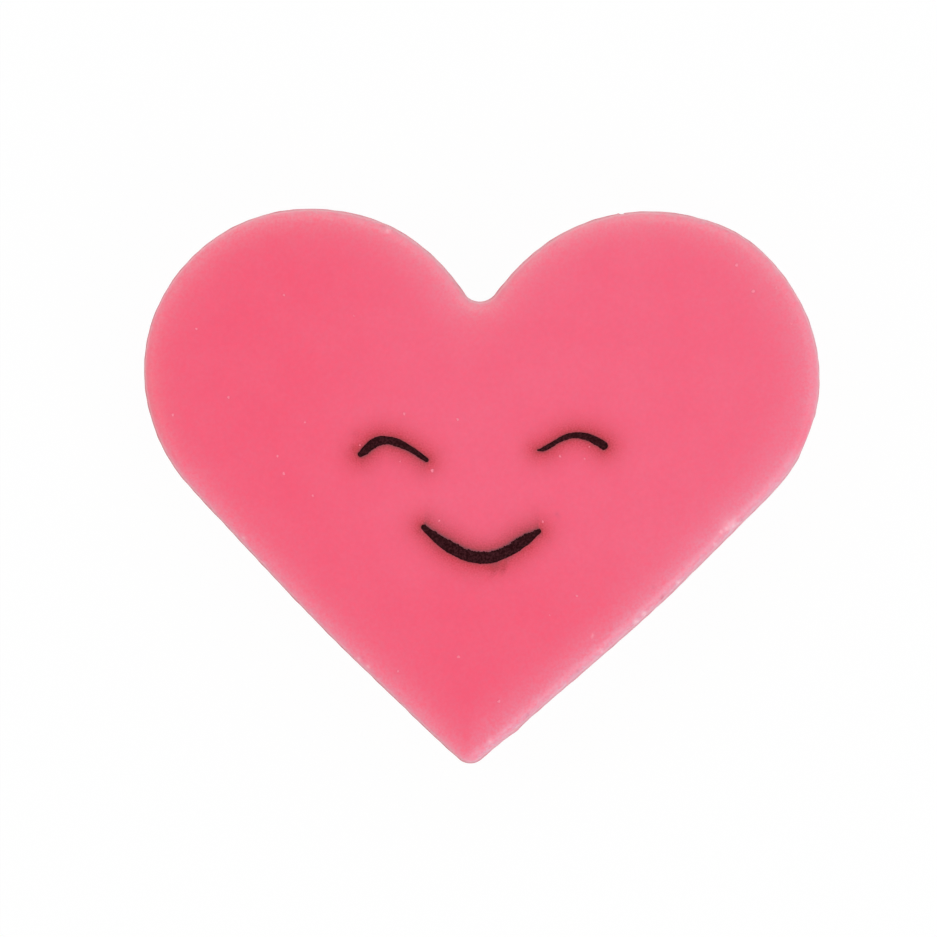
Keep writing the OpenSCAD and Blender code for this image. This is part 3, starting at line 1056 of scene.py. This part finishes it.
class ERASER_OT_set_studio(bpy.types.Operator):
    """Lay white paper under the eraser, hang soft lights round it and look straight down on it"""

    bl_idname = "eraser.set_studio"
    bl_label = "Set Studio"

    def execute(self, context):
        scene = context.scene
        studio = scene.heart_eraser.studio
        reach, gap = 2.5, 0.01 * MM
        mesh = bpy.data.meshes.new("studio_floor")
        corners = [(-reach, -reach, -gap), (reach, -reach, -gap), (reach, reach, -gap), (-reach, reach, -gap)]
        mesh.from_pydata(corners, [], [(0, 1, 2, 3)])
        mesh.materials.append(studio_paper())
        floor = bpy.data.objects.new("studio_floor", mesh)
        scene.collection.objects.link(floor)

        lamps = (
            ("key_light", (0.62, -0.55, 0.75), 0.7, studio.key),
            ("fill_light_left", (-0.75, 0.1, 0.8), 0.7, studio.fill),
            ("fill_light_back", (0.15, 0.8, 0.75), 0.7, studio.fill),
        )
        for name, place, size, power in lamps:
            light = bpy.data.lights.new(name, "AREA")
            light.shape, light.size, light.energy = "DISK", size, power
            lamp = bpy.data.objects.new(name, light)
            lamp.location = place
            lamp.rotation_euler = (-Vector(place)).to_track_quat("-Z", "Y").to_euler()
            scene.collection.objects.link(lamp)

        # A light tent that is brighter near the horizon than overhead, where the camera looks in
        scene.world = bpy.data.worlds.new("light_tent")
        scene.world.use_nodes = True
        tree = scene.world.node_tree
        tree.nodes.clear()
        height = add(tree, "SeparateXYZ", {0: add(tree, "TexCoord", out="Generated")}, "Z")
        horizon, overhead = 1.0, 0.52
        level = add(tree, "MapRange", {0: height, 1: 0.0, 2: 1.0, 3: horizon, 4: overhead})
        tent = add(tree, "Background", {"Color": (1, 1, 1, 1), "Strength": level})
        add(tree, "OutputWorld", {"Surface": tent})

        sensor = 36.0
        data = bpy.data.cameras.new("camera")
        data.sensor_width = sensor
        data.lens = sensor * studio.camera_distance / studio.view_width
        data.clip_end = 10.0
        camera = bpy.data.objects.new("camera", data)
        camera.location = (*studio.aim, THICKNESS / 2 + studio.camera_distance)
        camera.rotation_euler = (0, 0, studio.turn)
        scene.collection.objects.link(camera)
        scene.camera = camera
        scene.view_settings.view_transform = "Standard"
        return {"FINISHED"}


class VIEW3D_PT_heart_eraser(bpy.types.Panel):
    """Lists the eraser's pieces and settings"""

    bl_label = "Heart Eraser"
    bl_idname = "VIEW3D_PT_heart_eraser"
    bl_space_type = "VIEW_3D"
    bl_region_type = "UI"
    bl_category = "Heart Eraser"

    def draw(self, context):
        settings = context.scene.heart_eraser
        for operator in OPERATORS:
            self.layout.operator(operator.bl_idname)
        for group in (settings.heart, settings.face, settings.finish, settings.studio):
            box = self.layout.box()
            for name in group.__annotations__:
                box.prop(group, name)


GROUPS = (HeartSizes, FaceSizes, Finish, Studio, HeartEraser)
OPERATORS = (ERASER_OT_mould_body, ERASER_OT_print_face, ERASER_OT_drop_crumbs, ERASER_OT_set_studio)
CLASSES = (*GROUPS, *OPERATORS, VIEW3D_PT_heart_eraser)


def register():
    """Makes the classes and the eraser's settings known to Blender."""
    for cls in CLASSES:
        bpy.utils.register_class(cls)
    bpy.types.Scene.heart_eraser = PointerProperty(type=HeartEraser)


def unregister():
    """Takes back what register did."""
    del bpy.types.Scene.heart_eraser
    for cls in reversed(CLASSES):
        bpy.utils.unregister_class(cls)


def main():
    register()
    bpy.ops.eraser.mould_body()
    bpy.ops.eraser.print_face()
    bpy.ops.eraser.drop_crumbs()
    bpy.ops.eraser.set_studio()


if __name__ == "__main__":
    main()
